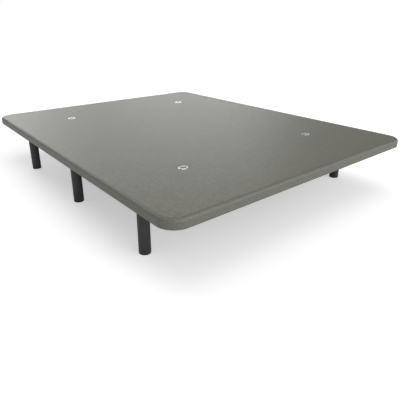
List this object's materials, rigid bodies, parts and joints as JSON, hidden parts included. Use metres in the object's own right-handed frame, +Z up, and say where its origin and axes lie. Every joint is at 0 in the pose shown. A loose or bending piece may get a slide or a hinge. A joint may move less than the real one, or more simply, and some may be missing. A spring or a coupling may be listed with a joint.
{
  "type": "bed base",
  "caption": "Upholstered platform bed base with rounded corners, breather vents and black round legs that screw into its frame.",
  "frame": {"origin": "on the floor under the middle of the base", "axes": "+X to the right side, +Y to the head end along the bed, +Z up"},
  "size_m": [1.5, 1.9, 0.29],
  "materials": {
    "cover_fabric": "woven grey-olive knit",
    "dust_cloth": "non-woven, matte",
    "foam": "open-cell foam, matte",
    "deck_board": "raw fibreboard, matte",
    "strip_wood": "raw pine, matte",
    "frame_steel": "satin",
    "zinc_steel": "satin",
    "vent_metal": "satin",
    "vent_gauze": "satin",
    "leg_coat": "matte",
    "foot_plastic": "matte",
    "nylon": "satin"
  },
  "bodies": {
    "base": {"side_rail_left": "frame_steel", "side_rail_right": "frame_steel", "head_rail": "frame_steel", "foot_rail": "frame_steel", "corner_bend_foot_left": "frame_steel", "corner_bend_foot_right": "frame_steel", "corner_bend_head_left": "frame_steel", "corner_bend_head_right": "frame_steel", "crossbar_foot": "frame_steel", "crossbar_lower": "frame_steel", "crossbar_mid": "frame_steel", "crossbar_upper": "frame_steel", "crossbar_head": "frame_steel", "leg_sockets": "zinc_steel", "tacking_strips": "strip_wood", "deck_panel": "deck_board", "deck_screws": "zinc_steel", "padding_top": "foam", "padding_edge": "foam", "cover_top": "cover_fabric", "cover_border": "cover_fabric", "seam_welt": "cover_fabric", "cover_hem": "cover_fabric", "dust_cover": "dust_cloth", "staples": "zinc_steel", "vent_ring_foot_left": "vent_metal", "vent_ring_foot_right": "vent_metal", "vent_ring_head_left": "vent_metal", "vent_ring_head_right": "vent_metal", "vent_gauzes": "vent_gauze", "vent_washers": "zinc_steel"},
    "washer_foot_left": {"leg_washer_foot_left": "nylon"},
    "leg_foot_left": {"leg_stud_foot_left": "leg_coat", "leg_tube_foot_left": "leg_coat", "leg_foot_foot_left": "foot_plastic"},
    "washer_foot_right": {"leg_washer_foot_right": "nylon"},
    "leg_foot_right": {"leg_stud_foot_right": "leg_coat", "leg_tube_foot_right": "leg_coat", "leg_foot_foot_right": "foot_plastic"},
    "washer_mid_left": {"leg_washer_mid_left": "nylon"},
    "leg_mid_left": {"leg_stud_mid_left": "leg_coat", "leg_tube_mid_left": "leg_coat", "leg_foot_mid_left": "foot_plastic"},
    "washer_mid_right": {"leg_washer_mid_right": "nylon"},
    "leg_mid_right": {"leg_stud_mid_right": "leg_coat", "leg_tube_mid_right": "leg_coat", "leg_foot_mid_right": "foot_plastic"},
    "washer_head_left": {"leg_washer_head_left": "nylon"},
    "leg_head_left": {"leg_stud_head_left": "leg_coat", "leg_tube_head_left": "leg_coat", "leg_foot_head_left": "foot_plastic"},
    "washer_head_right": {"leg_washer_head_right": "nylon"},
    "leg_head_right": {"leg_stud_head_right": "leg_coat", "leg_tube_head_right": "leg_coat", "leg_foot_head_right": "foot_plastic"}
  },
  "joints": [
    {"name": "lead_foot_left", "type": "slide", "parent": "base", "child": "washer_foot_left", "axis": [0, 0, -1], "range_m": [0, 0.018]},
    {"name": "turn_foot_left", "type": "hinge", "parent": "washer_foot_left", "child": "leg_foot_left", "pos_m": [-0.652, -0.632, 0.246], "axis": [0, 0, -1], "range_deg": [0, 4320]},
    {"name": "lead_foot_right", "type": "slide", "parent": "base", "child": "washer_foot_right", "axis": [0, 0, -1], "range_m": [0, 0.018]},
    {"name": "turn_foot_right", "type": "hinge", "parent": "washer_foot_right", "child": "leg_foot_right", "pos_m": [0.652, -0.632, 0.246], "axis": [0, 0, -1], "range_deg": [0, 4320]},
    {"name": "lead_mid_left", "type": "slide", "parent": "base", "child": "washer_mid_left", "axis": [0, 0, -1], "range_m": [0, 0.018]},
    {"name": "turn_mid_left", "type": "hinge", "parent": "washer_mid_left", "child": "leg_mid_left", "pos_m": [-0.652, 0, 0.246], "axis": [0, 0, -1], "range_deg": [0, 4320]},
    {"name": "lead_mid_right", "type": "slide", "parent": "base", "child": "washer_mid_right", "axis": [0, 0, -1], "range_m": [0, 0.018]},
    {"name": "turn_mid_right", "type": "hinge", "parent": "washer_mid_right", "child": "leg_mid_right", "pos_m": [0.652, 0, 0.246], "axis": [0, 0, -1], "range_deg": [0, 4320]},
    {"name": "lead_head_left", "type": "slide", "parent": "base", "child": "washer_head_left", "axis": [0, 0, -1], "range_m": [0, 0.018]},
    {"name": "turn_head_left", "type": "hinge", "parent": "washer_head_left", "child": "leg_head_left", "pos_m": [-0.652, 0.632, 0.246], "axis": [0, 0, -1], "range_deg": [0, 4320]},
    {"name": "lead_head_right", "type": "slide", "parent": "base", "child": "washer_head_right", "axis": [0, 0, -1], "range_m": [0, 0.018]},
    {"name": "turn_head_right", "type": "hinge", "parent": "washer_head_right", "child": "leg_head_right", "pos_m": [0.652, 0.632, 0.246], "axis": [0, 0, -1], "range_deg": [0, 4320]}
  ],
  "couplings": [
    {"joint": "lead_foot_left", "follows": "turn_foot_left", "m_per_rad": 0.00023873},
    {"joint": "lead_foot_right", "follows": "turn_foot_right", "m_per_rad": 0.00023873},
    {"joint": "lead_mid_left", "follows": "turn_mid_left", "m_per_rad": 0.00023873},
    {"joint": "lead_mid_right", "follows": "turn_mid_right", "m_per_rad": 0.00023873},
    {"joint": "lead_head_left", "follows": "turn_head_left", "m_per_rad": 0.00023873},
    {"joint": "lead_head_right", "follows": "turn_head_right", "m_per_rad": 0.00023873}
  ]
}
